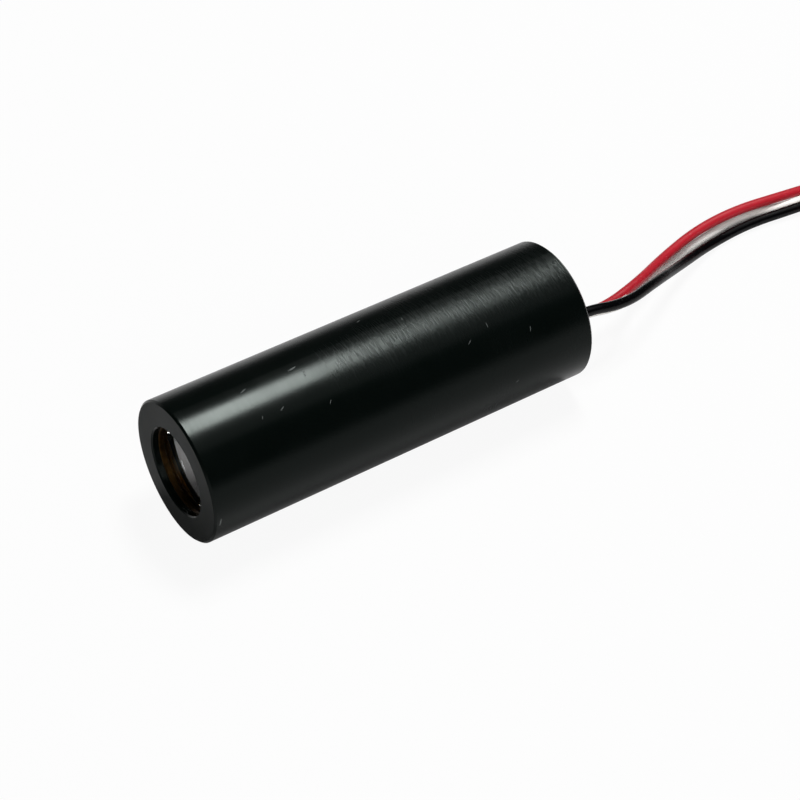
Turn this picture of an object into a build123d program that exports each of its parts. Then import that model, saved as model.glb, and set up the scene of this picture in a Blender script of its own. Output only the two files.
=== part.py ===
"""Laser diode module: a turned black barrel with a lens in front and three leads behind.

Millimetres, +Z up, lying on its side on z = 0. The light runs along the Y axis and leaves
towards -Y. The origin is under the middle of the barrel.
"""

from build123d import *
import math
import os

os.makedirs("parts", exist_ok=True)

# Barrel
housing_diameter = 10.0
housing_length = 30.0
housing_wall = 0.8
lip_thickness = 0.5
rim_chamfer = 0.15
aperture_step = 0.1
aperture_chamfer = 0.1
bore_slip = 0.02

# Brass cell behind the aperture, and the lens that a threaded ring holds in it
glass_index = 1.5168
lens_edge = 1.0
lens_seat = 0.5
dome_flatness = 0.5
lens_slip = 0.02
cell_wall = 0.66
cell_lip_thickness = 0.35
cell_lip_lap = 0.5
cell_lip_chamfer = 0.05
lens_ring_thickness = 1.0
lens_ring_room = 0.05

# Focus spring between the lens cell and the diode holder
spring_wire = 0.5
spring_length = 3.0
spring_turns = 4.25
spring_slip = 0.15

# Laser diode can
can_diameter = 5.6
stem_thickness = 1.2
emitter_height = 1.27
notch_width = 0.5
notch_depth = 0.3
post_width = 1.7
post_thickness = 0.9
submount_size = (0.75, 0.3, 0.9)
chip_size = (0.25, 0.1, 0.3)
photodiode_side = 0.6
photodiode_thickness = 0.2
cap_room = 0.25
cap_flange = 0.375
cap_height = 2.45
cap_wall = 0.15
window_room = 0.325
window_lap = 0.5
window_thickness = 0.25
pin_diameter = 0.45
pin_circle_radius = 1.0
pin_reach_rear = 4.5
pin_reach_front = 0.4
seal_diameter = 0.95

# Brass diode holder and its clamp ring
holder_length = 5.6
stem_lap = 0.4
clamp_ring_margin = 0.5
clamp_ring_lap = 0.6
clamp_ring_thickness = 1.0
clamp_ring_recess = 0.3
spanner_slot_width = 0.7
spanner_slot_depth = 0.5

# Driver board, which stands at an angle about the light's axis
board_roll = 48.0
board_room = 0.3
board_thickness = 0.5
board_corner = 0.5
board_gap = 0.8
chip_case_length = 2.9
chip_case_height = 1.0
chip_case_gap = 0.1
chip_case_draft = 6.0
driver_chip_width = 1.6
transistor_width = 1.3
chip_distance = 4.3
transistor_side = -1.7
lead_thickness = 0.15
lead_foot = 0.35
lead_spread = 0.95
brick_length = 1.6
brick_width = 0.8
resistor_height = 0.45
capacitor_height = 0.8
front_brick_distance = 4.0
rear_brick_inset = 2.3
brick_side = 2.5
filter_capacitor_size = (3.2, 1.6, 1.6)
filter_capacitor_inset = 3.2
filter_capacitor_side = 1.6
solder_cover = 0.1
solder_width = 0.75
solder_corner = 0.25
solder_round = 0.15
pin_solder_length = 1.4

# Rear sealing compound
potting_recess = 0.5
potting_depth = 2.2
potting_gap = 0.4
wire_peek = 0.1

# Leads: three insulated wires, side by side
wire_diameter = 0.75
core_diameter = 0.35
wire_pitch = 1.0
exit_run = 1.6
core_reach = 1.4
lead_length = 100.0
tip_length = 3.0

# Coil of the spare lead, and its tie
coil_centre = (1.15, 48.4)
turn_gap = 0.05
coil_inner_radius = 3.7
coil_join_angle = 170.0
approach_run = 4.0
tip_gap = 0.5
tie_thickness = 0.15
tie_width = 1.2
tie_angle = 40.0
tie_slip = 0.07

# Places worked out from the sizes above, as distances behind the front face
housing_radius = housing_diameter / 2
bore_radius = housing_radius - housing_wall
front_y = -housing_length / 2
rear_y = housing_length / 2
axis_height = housing_radius
fitted_radius = bore_radius - bore_slip

cell_bore_radius = fitted_radius - cell_wall
lens_radius = cell_bore_radius - lens_slip
cell_lip_radius = lens_radius - cell_lip_lap
aperture_radius = cell_lip_radius + aperture_step
dome_radius = lens_radius - lens_seat
lens_rear_radius = dome_radius + dome_flatness
dome_sag = lens_rear_radius - math.sqrt(lens_rear_radius**2 - dome_radius**2)

lens_front = lip_thickness + cell_lip_thickness
lens_rim_end = lens_front + lens_edge

# The lens is flat in front, so the diode's emitter sits one focal length behind its dome
focal_length = lens_rear_radius / (glass_index - 1)
emitter_distance = lens_rim_end + dome_sag + focal_length

stem_front = emitter_distance + emitter_height
stem_rear = stem_front + stem_thickness
cap_front = stem_front - cap_height
holder_rear = stem_rear + clamp_ring_thickness + clamp_ring_recess
holder_front = holder_rear - holder_length
cell_rear = holder_front - spring_length
pin_end = stem_rear + pin_reach_rear

can_radius = can_diameter / 2
holder_bore_radius = can_radius - stem_lap
clamp_ring_radius = can_radius + clamp_ring_margin
clamp_ring_bore_radius = can_radius - clamp_ring_lap
cap_flange_radius = holder_bore_radius - cap_room
cap_radius = cap_flange_radius - cap_flange
window_radius = cap_radius - cap_wall - window_room
window_hole_radius = window_radius - window_lap

potting_rear = housing_length - potting_recess
potting_front = potting_rear - potting_depth
wire_start = potting_front - wire_peek
board_front = holder_rear + board_gap
board_length = potting_front - potting_gap - board_front
board_top = (board_thickness - pin_circle_radius) / 2
board_bottom = board_top - board_thickness
pin_film = -pin_diameter / 2 - board_top
board_width = 2 * math.sqrt((bore_radius - board_room) ** 2 - board_bottom**2)
wire_height = board_bottom - wire_diameter / 2
solder_height = max(pin_film + pin_diameter, (wire_diameter + core_diameter) / 2) + solder_cover

# Directions of the tilted board: across its width, up from its face, and along the light
roll = math.radians(board_roll)
across = Vector(-math.cos(roll), 0, -math.sin(roll))
up = Vector(-math.sin(roll), 0, math.cos(roll))
along = Vector(0, 1, 0)

optical_axis = Axis((0, front_y, axis_height), (0, 1, 0))
section = Plane(origin=(0, front_y, axis_height), x_dir=(0, 1, 0), z_dir=(1, 0, 0))


def point(distance, side=0.0, height=0.0):
    """A point given by its distance behind the front face, across the board and up from the axis."""
    return Vector(0, front_y + distance, axis_height) + across * side + up * height


def station(distance):
    """The plane across the axis at a distance behind the front face, facing the rear."""
    return Plane(origin=point(distance), x_dir=across, z_dir=along)


def board_plane(height):
    """The plane level with the board, its x along the light from the board's front edge."""
    return Plane(origin=point(board_front, 0, height), x_dir=along, z_dir=up)


def finish(piece, name):
    """Name a finished piece and write it to its own file."""
    piece.part.label = name
    export_step(piece.part, f"parts/{name}.step")


# Barrel: one turned tube with a lip round the aperture
with BuildPart() as housing:
    with BuildSketch(section):
        with BuildLine():
            Polyline(
                (0, aperture_radius),
                (0, housing_radius),
                (housing_length, housing_radius),
                (housing_length, bore_radius),
                (lip_thickness, bore_radius),
                (lip_thickness, aperture_radius),
                close=True,
            )
        make_face()
    revolve(axis=optical_axis)
    outer_rims = housing.edges().filter_by(GeomType.CIRCLE).group_by(lambda edge: edge.radius)[-1]
    chamfer(outer_rims, rim_chamfer)
    front_rims = housing.edges().filter_by(GeomType.CIRCLE).group_by(Axis.Y)[0]
    chamfer(front_rims.sort_by(lambda edge: edge.radius)[0], aperture_chamfer)
finish(housing, "housing")


# Lens: glass, flat in front and domed behind, with a flat land round the dome
with BuildPart() as lens:
    with BuildSketch(section):
        with BuildLine():
            Line((lens_front, 0), (lens_rim_end + dome_sag, 0))
            RadiusArc((lens_rim_end + dome_sag, 0), (lens_rim_end, dome_radius), -lens_rear_radius)
            Polyline(
                (lens_rim_end, dome_radius),
                (lens_rim_end, lens_radius),
                (lens_front, lens_radius),
                (lens_front, 0),
            )
        make_face()
    revolve(axis=optical_axis)
finish(lens, "lens")


# Lens cell: a threaded brass sleeve whose front lip carries the lens
with BuildPart() as lens_cell:
    with BuildSketch(section):
        with BuildLine():
            Polyline(
                (lip_thickness, cell_lip_radius),
                (lip_thickness, fitted_radius),
                (cell_rear, fitted_radius),
                (cell_rear, cell_bore_radius),
                (lens_front, cell_bore_radius),
                (lens_front, cell_lip_radius),
                close=True,
            )
        make_face()
    revolve(axis=optical_axis)
    cell_mouth = lens_cell.edges().filter_by(GeomType.CIRCLE).group_by(Axis.Y)[0]
    chamfer(cell_mouth.sort_by(lambda edge: edge.radius)[0], cell_lip_chamfer)
finish(lens_cell, "lens_cell")


# Lens ring: screwed into the cell from behind to press the lens on its lip
lens_ring_rear = lens_rim_end + lens_ring_thickness
with BuildPart() as lens_ring:
    with BuildSketch(station(lens_rim_end)):
        Circle(lens_radius)
        Circle(dome_radius + lens_ring_room, mode=Mode.SUBTRACT)
    extrude(amount=lens_ring_thickness)
    with BuildSketch(station(lens_ring_rear)):
        Rectangle(spanner_slot_width, 2 * lens_radius)
    extrude(amount=-spanner_slot_depth, mode=Mode.SUBTRACT)
finish(lens_ring, "lens_ring")


# Focus spring: a helix with both ends ground flat where they seat
spring_radius = fitted_radius - spring_slip - spring_wire / 2
spring_pitch = spring_length / spring_turns
with BuildPart() as focus_spring:
    with BuildLine():
        coil_path = Helix(
            pitch=spring_pitch,
            height=spring_length,
            radius=spring_radius,
            center=point(cell_rear),
            direction=along,
        )
    with BuildSketch(Plane(origin=coil_path @ 0, z_dir=coil_path % 0)):
        Circle(spring_wire / 2)
    sweep(is_frenet=True)
    with BuildSketch(station(cell_rear)):
        Circle(fitted_radius)
    extrude(amount=spring_length, mode=Mode.INTERSECT)
finish(focus_spring, "focus_spring")


# Diode holder: the brass heat sink, screwed in from behind to set the focus
with BuildPart() as diode_holder:
    with BuildSketch(section):
        with BuildLine():
            Polyline(
                (holder_front, holder_bore_radius),
                (holder_front, fitted_radius),
                (holder_rear, fitted_radius),
                (holder_rear, clamp_ring_radius + bore_slip),
                (stem_rear, clamp_ring_radius + bore_slip),
                (stem_rear, can_radius + bore_slip),
                (stem_front, can_radius + bore_slip),
                (stem_front, holder_bore_radius),
                close=True,
            )
        make_face()
    revolve(axis=optical_axis)
    with BuildSketch(station(holder_rear)):
        Rectangle(spanner_slot_width, housing_diameter)
        Circle(clamp_ring_radius, mode=Mode.SUBTRACT)
    extrude(amount=-spanner_slot_depth, mode=Mode.SUBTRACT)
finish(diode_holder, "diode_holder")


# Clamp ring: holds the diode's stem against the shoulder, with two spanner slots
with BuildPart() as diode_clamp_ring:
    with BuildSketch(station(stem_rear)):
        Circle(clamp_ring_radius)
        Circle(clamp_ring_bore_radius, mode=Mode.SUBTRACT)
    extrude(amount=clamp_ring_thickness)
    with BuildSketch(station(stem_rear + clamp_ring_thickness)):
        Rectangle(spanner_slot_width, 2 * clamp_ring_radius)
    extrude(amount=-spanner_slot_depth, mode=Mode.SUBTRACT)
finish(diode_clamp_ring, "diode_clamp_ring")


# Diode stem: the steel disc with its notches, pin holes and heat sink post
pin_sides = (-pin_circle_radius, pin_circle_radius)
post_height = -chip_size[1] / 2 - submount_size[1]
with BuildPart() as diode_stem:
    with BuildSketch(station(stem_front)):
        Circle(can_radius)
        with Locations((0, can_radius)):
            Rectangle(notch_width * 2, notch_depth * 2, mode=Mode.SUBTRACT)
        with Locations((-can_radius, 0), (can_radius, 0)):
            Rectangle(notch_width, notch_width, rotation=45, mode=Mode.SUBTRACT)
        with Locations((pin_sides[0], 0), (pin_sides[1], 0)):
            Circle(seal_diameter / 2, mode=Mode.SUBTRACT)
    extrude(amount=stem_thickness)
    with BuildSketch(station(stem_front)):
        with Locations((0, post_height - post_thickness / 2)):
            Rectangle(post_width, post_thickness)
    extrude(amount=-emitter_height)
finish(diode_stem, "diode_stem")


# Submount and laser chip on the post, the chip's front facet at the focus
with BuildPart() as diode_submount:
    with BuildSketch(station(emitter_distance)):
        with Locations((0, post_height + submount_size[1] / 2)):
            Rectangle(submount_size[0], submount_size[1])
    extrude(amount=submount_size[2])
finish(diode_submount, "diode_submount")

with BuildPart() as laser_chip:
    with BuildSketch(station(emitter_distance)):
        Rectangle(chip_size[0], chip_size[1])
    extrude(amount=chip_size[2])
finish(laser_chip, "laser_chip")


# Monitor photodiode on the stem's face behind the laser chip
with BuildPart() as monitor_photodiode:
    with BuildSketch(station(stem_front)):
        with Locations((0, photodiode_side / 2)):
            Rectangle(photodiode_side, photodiode_side)
    extrude(amount=-photodiode_thickness)
finish(monitor_photodiode, "monitor_photodiode")


# Cap: a drawn can with a weld flange and a hole for the window
with BuildPart() as diode_cap:
    with BuildSketch(section):
        with BuildLine():
            Polyline(
                (cap_front, window_hole_radius),
                (cap_front, cap_radius),
                (stem_front - cap_wall, cap_radius),
                (stem_front - cap_wall, cap_flange_radius),
                (stem_front, cap_flange_radius),
                (stem_front, cap_radius - cap_wall),
                (cap_front + cap_wall, cap_radius - cap_wall),
                (cap_front + cap_wall, window_hole_radius),
                close=True,
            )
        make_face()
    revolve(axis=optical_axis)
    crown = diode_cap.edges().filter_by(GeomType.CIRCLE).group_by(Axis.Y)[0]
    fillet(crown.sort_by(lambda edge: edge.radius)[-1], cap_wall)
finish(diode_cap, "diode_cap")

with BuildPart() as diode_window:
    with BuildSketch(station(cap_front + cap_wall)):
        Circle(window_radius)
    extrude(amount=window_thickness)
finish(diode_window, "diode_window")


# Pins: two pass through glass beads, the third is welded to the back of the stem
with BuildPart() as laser_pin:
    with BuildSketch(station(stem_front - pin_reach_front)):
        with Locations((pin_sides[0], 0)):
            Circle(pin_diameter / 2)
    extrude(amount=pin_end - stem_front + pin_reach_front)
finish(laser_pin, "laser_pin")

with BuildPart() as photodiode_pin:
    with BuildSketch(station(stem_front - pin_reach_front)):
        with Locations((pin_sides[1], 0)):
            Circle(pin_diameter / 2)
    extrude(amount=pin_end - stem_front + pin_reach_front)
finish(photodiode_pin, "photodiode_pin")

with BuildPart() as common_pin:
    with BuildSketch(station(stem_rear)):
        with Locations((0, -pin_circle_radius)):
            Circle(pin_diameter / 2)
    extrude(amount=pin_end - stem_rear)
finish(common_pin, "common_pin")

with BuildPart() as pin_beads:
    with BuildSketch(station(stem_front)):
        with Locations((pin_sides[0], 0), (pin_sides[1], 0)):
            Circle(seal_diameter / 2)
            Circle(pin_diameter / 2, mode=Mode.SUBTRACT)
    extrude(amount=stem_thickness)
finish(pin_beads, "pin_beads")


# Driver board: it lies midway between the pins, which are soldered to both its faces
with BuildPart() as driver_board:
    with BuildSketch(board_plane(board_top)):
        with Locations((board_length / 2, 0)):
            RectangleRounded(board_length, board_width, board_corner)
    extrude(amount=-board_thickness)
finish(driver_board, "driver_board")


def gull_wing_case(above, side, width, lead_rows):
    """A moulded chip case on one face of the board with bent leads along its two long sides."""
    outward_face = up if above else up * -1
    face = board_top if above else board_bottom
    lead_span = chip_case_height / 2
    with BuildPart() as case:
        seat = point(board_front + chip_distance, side, face) + outward_face * chip_case_gap
        with BuildSketch(Plane(origin=seat, x_dir=along, z_dir=outward_face)):
            RectangleRounded(chip_case_length, width, lead_thickness)
        extrude(amount=chip_case_height - chip_case_gap, taper=chip_case_draft)
        for turn, places in lead_rows:
            outward = across * turn
            for place in places:
                root = point(board_front + chip_distance + place, side, face) + outward * (width / 2)
                with BuildSketch(Plane(origin=root, x_dir=outward, z_dir=outward.cross(outward_face))):
                    with BuildLine():
                        bent = Polyline(
                            (-lead_foot, lead_span),
                            (lead_foot / 2, lead_span),
                            (lead_foot, lead_thickness / 2),
                            (lead_foot * 2, lead_thickness / 2),
                        )
                        offset(bent, amount=lead_thickness / 2, side=Side.BOTH)
                    make_face()
                extrude(amount=lead_foot / 2, both=True)
    return case


# Chips: the regulator above in a five-lead case, the pass transistor below in a three-lead case
driver_chip = gull_wing_case(
    True, 0, driver_chip_width, ((1, (-lead_spread, 0, lead_spread)), (-1, (-lead_spread, lead_spread)))
)
finish(driver_chip, "driver_chip")

pass_transistor = gull_wing_case(
    False, transistor_side, transistor_width, ((1, (-lead_spread, lead_spread)), (-1, (0,)))
)
finish(pass_transistor, "pass_transistor")


def bricks(places, height):
    """Small brick-shaped parts on the board's upper face, in one group."""
    with BuildPart() as group:
        with BuildSketch(board_plane(board_top)):
            with Locations(*places):
                Rectangle(brick_length, brick_width)
        extrude(amount=height)
    return group


rear_bricks = board_length - rear_brick_inset
chip_resistors = bricks(((front_brick_distance, -brick_side), (rear_bricks, brick_side)), resistor_height)
finish(chip_resistors, "chip_resistors")

chip_capacitors = bricks(((front_brick_distance, brick_side), (rear_bricks, -brick_side)), capacitor_height)
finish(chip_capacitors, "chip_capacitors")

with BuildPart() as filter_capacitor:
    with BuildSketch(board_plane(board_bottom)):
        with Locations((board_length - filter_capacitor_inset, filter_capacitor_side)):
            RectangleRounded(filter_capacitor_size[0], filter_capacitor_size[1], lead_thickness)
    extrude(amount=-filter_capacitor_size[2])
finish(filter_capacitor, "filter_capacitor")


# Solder: a rounded mound over each pin end and each stripped core
def solder_mounds(places, top, length):
    """Rounded solder on one face of the board, over what lies there."""
    face_height = board_top if top else board_bottom
    with BuildPart() as mounds:
        with BuildSketch(board_plane(face_height)):
            with Locations(*places):
                RectangleRounded(length, solder_width, solder_corner)
        extrude(amount=solder_height if top else -solder_height)
        crest = mounds.faces().sort_by(lambda face: face.center().dot(up))
        crest = crest[-len(places):] if top else crest[: len(places)]
        fillet(crest.edges(), solder_round)
    return mounds


pin_overlap = pin_end - board_front
with BuildPart() as pin_solder:
    add(solder_mounds([(pin_overlap / 2, side) for side in pin_sides], True, pin_solder_length).part)
    add(solder_mounds([(pin_overlap / 2, 0)], False, pin_solder_length).part)
    add([laser_pin.part, photodiode_pin.part, common_pin.part], mode=Mode.SUBTRACT)
finish(pin_solder, "pin_solder")


# Leads: each is a route of corner points with an arc at every corner
lane = {"red": wire_pitch, "white": 0.0, "black": -wire_pitch}
flat = wire_diameter / 2
free_points = {
    "red": (
        (-0.61, 5.2, 2.73),
        (-2.11, 9.4, 1.46),
        (-4.31, 13.6, 0.44),
        (-5.56, 17.8, flat),
        (-6.08, 22.0, flat),
        (-5.41, 26.2, flat),
    ),
    "white": (
        (0.23, 5.3, 2.86),
        (-1.16, 9.5, 1.66),
        (-3.59, 13.8, 0.64),
        (-4.65, 18.0, flat),
        (-5.1, 22.1, flat),
        (-4.62, 26.2, flat),
    ),
    "black": (
        (0.85, 5.4, 3.25),
        (-0.25, 9.6, 2.69),
        (-2.46, 13.8, 0.99),
        (-3.84, 18.0, flat),
        (-4.25, 22.1, flat),
        (-3.82, 26.2, flat),
    ),
}
coil_pitch = wire_diameter + turn_gap
coil_opening = (4 * coil_pitch, 2 * coil_pitch)
coil_radius = {
    "black": coil_inner_radius,
    "white": coil_inner_radius + coil_pitch,
    "red": coil_inner_radius + 2 * coil_pitch,
}
join = math.radians(coil_join_angle)
join_outward = Vector(math.cos(join), math.sin(join), 0)
join_heading = Vector(math.sin(join), -math.cos(join), 0)
coil_middle = Vector(coil_centre[0], coil_centre[1], 0)
coil_floor = tie_thickness
wire_start_depth = potting_rear - wire_start
coil_turns = {}
coil_end_angle = {}


def route(colour):
    """The corner points of one lead, from its soldered end to where its coil starts."""
    start = point(wire_start, lane[colour], wire_height)
    corner = point(housing_length + exit_run, lane[colour], wire_height)
    loose = [Vector(x, rear_y + back, z) for x, back, z in free_points[colour]]
    meet = coil_middle + join_outward * coil_radius[colour] + Vector(0, 0, coil_floor + wire_diameter / 2)
    before = meet - join_heading * approach_run
    return [start, corner, *loose, before, meet]


def corner_radii(points):
    """The arc at each corner: 0.45 of the shorter run over the tangent of half the turn."""
    radii = []
    for before, corner, after in zip(points, points[1:], points[2:]):
        arriving, leaving = corner - before, after - corner
        half_turn = math.radians(arriving.get_angle(leaving)) / 2
        radii.append(0.45 * min(arriving.length, leaving.length) / math.tan(half_turn))
    return radii


def wire(colour):
    """One insulated lead from the board to its coil."""
    points = route(colour)
    radii = corner_radii(points)
    with BuildPart() as lead:
        with BuildLine():
            path = FilletPolyline(*points, radius=radii)
        with BuildSketch(Plane(origin=path @ 0, z_dir=path % 0)):
            Circle(wire_diameter / 2)
        sweep()
    coiled = lead_length - tip_length - path.length + wire_start_depth
    coil_turns[colour] = coiled / (2 * math.pi * coil_radius[colour])
    coil_end_angle[colour] = coil_join_angle - 360 * coil_turns[colour]
    expected = math.pi * wire_diameter**2 / 4 * path.length
    print(f"{colour} lead: {path.length:.1f} mm of tube, volume {lead.part.volume:.2f} of {expected:.2f}")
    print(f"  corner radii {', '.join(f'{radius:.1f}' for radius in radii)}, then {coiled:.1f} mm coiled")
    return lead


red_wire = wire("red")
finish(red_wire, "red_wire")

white_wire = wire("white")
finish(white_wire, "white_wire")

black_wire = wire("black")
finish(black_wire, "black_wire")


# Stripped cores inside, from the end of each insulation to its solder pad
with BuildPart() as wire_cores:
    with BuildSketch(station(wire_start - core_reach)):
        with Locations(*[(side, wire_height) for side in lane.values()]):
            Circle(core_diameter / 2)
    extrude(amount=core_reach)
finish(wire_cores, "wire_cores")

pad_distance = board_length - solder_width / 2
with BuildPart() as wire_solder:
    add(solder_mounds([(pad_distance, side) for side in lane.values()], False, solder_width).part)
    add(wire_cores.part, mode=Mode.SUBTRACT)
finish(wire_solder, "wire_solder")


# Sealing compound: fills the barrel's rear and grips the three leads
with BuildPart() as rear_potting:
    with BuildSketch(station(potting_front)):
        Circle(bore_radius)
        with Locations(*[(side, wire_height) for side in lane.values()]):
            Circle(wire_diameter / 2, mode=Mode.SUBTRACT)
    extrude(amount=potting_rear - potting_front)
finish(rear_potting, "rear_potting")


# Coil: each lead is one ring of turns, and the three rings lie one inside another
coil_top = {colour: coil_floor + coil_turns[colour] * coil_pitch + wire_diameter for colour in lane}
clockwise = Axis(coil_middle, (0, 0, -1))
anticlockwise = Axis(coil_middle, (0, 0, 1))


def radial_plane(angle):
    """The upright plane through the coil's axis at an angle in degrees, x outward and y up."""
    outward = Vector(math.cos(math.radians(angle)), math.sin(math.radians(angle)), 0)
    return Plane(origin=coil_middle, x_dir=outward, z_dir=outward.cross(Vector(0, 0, 1)))


def ring_section(colour, low, high):
    """A rectangle across one ring between two heights."""
    with Locations((coil_radius[colour], (low + high) / 2)):
        Rectangle(wire_diameter, high - low)


def coil(colour):
    """The outer shape of one ring, open where the leads run in and where its tip lies."""
    top = coil_top[colour]
    last_turn = top - wire_diameter
    tip_sweep = math.degrees((tip_length + tip_gap) / coil_radius[colour])
    with BuildPart() as ring:
        with BuildSketch(radial_plane(coil_join_angle)):
            ring_section(colour, coil_floor, last_turn)
        revolve(axis=anticlockwise)
        with BuildSketch(radial_plane(coil_join_angle)):
            with Locations((coil_radius["white"], coil_floor)):
                Rectangle(*coil_opening)
        extrude(amount=coil_radius["red"], dir=join_heading * -1, mode=Mode.SUBTRACT)
        with BuildSketch(radial_plane(coil_end_angle[colour])):
            ring_section(colour, last_turn, top)
        revolve(axis=anticlockwise, revolution_arc=360 - tip_sweep)
    return ring


red_coil = coil("red")
finish(red_coil, "red_coil")

white_coil = coil("white")
finish(white_coil, "white_coil")

black_coil = coil("black")
finish(black_coil, "black_coil")


def tip(colour):
    """The stripped and tinned end of one lead, which follows its ring."""
    with BuildPart() as bare_end:
        with BuildSketch(radial_plane(coil_end_angle[colour])):
            with Locations((coil_radius[colour], coil_top[colour] - wire_diameter / 2)):
                Circle(core_diameter / 2)
        revolve(axis=clockwise, revolution_arc=math.degrees(tip_length / coil_radius[colour]))
    return bare_end


red_tip = tip("red")
finish(red_tip, "red_tip")

white_tip = tip("white")
finish(white_tip, "white_tip")

black_tip = tip("black")
finish(black_tip, "black_tip")


# Tie: a band round the three rings
tie_inside = coil_radius["black"] - wire_diameter / 2 - tie_slip
tie_outside = coil_radius["red"] + wire_diameter / 2 + tie_slip
tie_top = max(coil_top.values()) + tie_slip
with BuildPart() as coil_tie:
    with BuildSketch(radial_plane(tie_angle)):
        with Locations(((tie_inside + tie_outside) / 2, (tie_top + tie_thickness) / 2)):
            RectangleRounded(
                tie_outside - tie_inside + 2 * tie_thickness, tie_top + tie_thickness, tie_thickness
            )
        with Locations(((tie_inside + tie_outside) / 2, (tie_top + coil_floor) / 2)):
            Rectangle(tie_outside - tie_inside, tie_top - coil_floor, mode=Mode.SUBTRACT)
    extrude(amount=tie_width / 2, both=True)
finish(coil_tie, "coil_tie")
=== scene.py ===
"""Laser diode module: a black anodised barrel with a lens in front and three leads behind.

Metres, +Z up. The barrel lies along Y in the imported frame, and its light leaves towards -Y.
"""

import math

import bpy
import bmesh
from mathutils import Euler, Matrix, Vector


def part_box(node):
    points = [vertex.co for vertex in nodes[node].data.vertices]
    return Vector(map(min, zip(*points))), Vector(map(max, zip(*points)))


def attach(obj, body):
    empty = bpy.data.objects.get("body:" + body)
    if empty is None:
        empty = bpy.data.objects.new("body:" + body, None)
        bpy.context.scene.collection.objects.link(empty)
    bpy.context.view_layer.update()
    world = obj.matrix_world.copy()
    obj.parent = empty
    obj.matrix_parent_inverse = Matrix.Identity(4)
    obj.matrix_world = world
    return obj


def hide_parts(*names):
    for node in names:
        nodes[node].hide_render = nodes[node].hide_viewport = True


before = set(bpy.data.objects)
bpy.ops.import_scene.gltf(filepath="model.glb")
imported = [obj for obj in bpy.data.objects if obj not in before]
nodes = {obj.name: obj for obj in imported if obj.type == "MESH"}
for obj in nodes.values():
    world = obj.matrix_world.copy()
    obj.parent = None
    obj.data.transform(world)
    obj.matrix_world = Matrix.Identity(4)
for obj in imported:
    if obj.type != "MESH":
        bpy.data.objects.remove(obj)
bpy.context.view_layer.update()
scene = bpy.context.scene


def mm(*values):
    """A length or a point in millimetres, in metres."""
    return values[0] / 1000 if len(values) == 1 else Vector(values) / 1000


def in_mm(length):
    """A length in metres, in millimetres."""
    return length * 1000


# Places that the frame gives, in metres
barrel_low, barrel_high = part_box("housing")
front_y, rear_y = barrel_low.y, barrel_high.y
barrel_radius = (barrel_high.x - barrel_low.x) / 2
axis_height = (barrel_low.z + barrel_high.z) / 2
sealant_low, sealant_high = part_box("rear_potting")
bore_radius = (sealant_high.x - sealant_low.x) / 2
lens_radius = (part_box("lens")[1].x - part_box("lens")[0].x) / 2


# Camera: where a perspective fit of the barrel's two end circles puts it
camera_place = mm(100.029, -65.003, 108.653)
camera_tilt = 48.697
camera_heading = 56.012
camera_lens = 106.058
sensor_width = 36.0

camera_data = bpy.data.cameras.new("camera")
camera_data.lens = camera_lens
camera_data.sensor_width = sensor_width
camera_data.clip_start = mm(1)
camera = bpy.data.objects.new("camera", camera_data)
camera.location = camera_place
camera.rotation_euler = Euler((math.radians(camera_tilt), 0, math.radians(camera_heading)))
scene.collection.objects.link(camera)
scene.camera = camera


# Leads: the routes of the CAD solids in millimetres, with the free points moved to where
# the photograph shows the leads cross, the red one lying on the white one
wire_diameter = 0.75
board_roll = math.radians(48)
wire_height = -1.125
wire_pitch = 1.0
wire_start_y = 12.2
corner_y = 16.6
flat = wire_diameter / 2
lane = {"red": wire_pitch, "white": 0.0, "black": -wire_pitch}
free_points = {
    "red": (
        (-0.42, 5.2, 2.3),
        (-1.42, 9.2, 2.3),
        (-3.57, 13.3, 1.34),
        (-4.84, 17.5, 1.3),
        (-5.13, 21.6, 1.32),
        (-4.8, 25.8, 1.08),
    ),
    "white": (
        (1.1, 5.3, 3.5),
        (-1.95, 9.5, 0.75),
        (-3.8, 13.8, flat),
        (-4.6, 18.0, flat),
        (-5.24, 22.1, flat),
        (-4.25, 26.2, flat),
    ),
    "black": (
        (1.8, 5.4, 4.15),
        (0.1, 9.6, 3.2),
        (-2.12, 13.8, 1.4),
        (-3.8, 18.0, flat),
        (-4.17, 22.1, 0.4),
        (-3.58, 26.2, 0.5),
    ),
}
coil_centre = (1.15, 48.4)
coil_floor = 0.15
coil_rise = 0.8
coil_radius = {"black": 3.7, "white": 4.5, "red": 5.3}
coil_join = math.radians(170)
coiled_length = {"red": 60.6, "white": 60.7, "black": 60.8}
approach_run = 4.0
points_per_turn = 16
tip_length = 3.0
tip_overlap = 0.3


def lane_point(colour, y):
    """A lead's place under the tilted board, at a distance along the barrel."""
    side = lane[colour]
    across = (-math.cos(board_roll), -math.sin(board_roll))
    up = (-math.sin(board_roll), math.cos(board_roll))
    x = across[0] * side + up[0] * wire_height
    z = in_mm(axis_height) + across[1] * side + up[1] * wire_height
    return x, y, z


def ring_point(turned, radius):
    """A point on a lead's ring of turns, after an angle turned clockwise from where it joins."""
    angle = coil_join - turned
    rise = turned / (2 * math.pi) * coil_rise
    return (
        coil_centre[0] + radius * math.cos(angle),
        coil_centre[1] + radius * math.sin(angle),
        coil_floor + wire_diameter / 2 + rise,
    )


def lead_route(colour):
    """The control points of one lead, from inside the sealant to the end of its insulation."""
    radius = coil_radius[colour]
    points = [lane_point(colour, wire_start_y), lane_point(colour, corner_y)]
    points += [(x, in_mm(rear_y) + back, z) for x, back, z in free_points[colour]]
    meet = ring_point(0, radius)
    heading = (math.sin(coil_join), -math.cos(coil_join))
    points.append((meet[0] - heading[0] * approach_run, meet[1] - heading[1] * approach_run, meet[2]))
    points.append(meet)
    turned = coiled_length[colour] / radius
    corners = round(turned / (2 * math.pi) * points_per_turn)
    step = turned / corners
    for corner in range(corners):
        points.append(ring_point((corner + 0.5) * step, radius / math.cos(step / 2)))
    points.append(ring_point(turned, radius))
    return points


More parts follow.
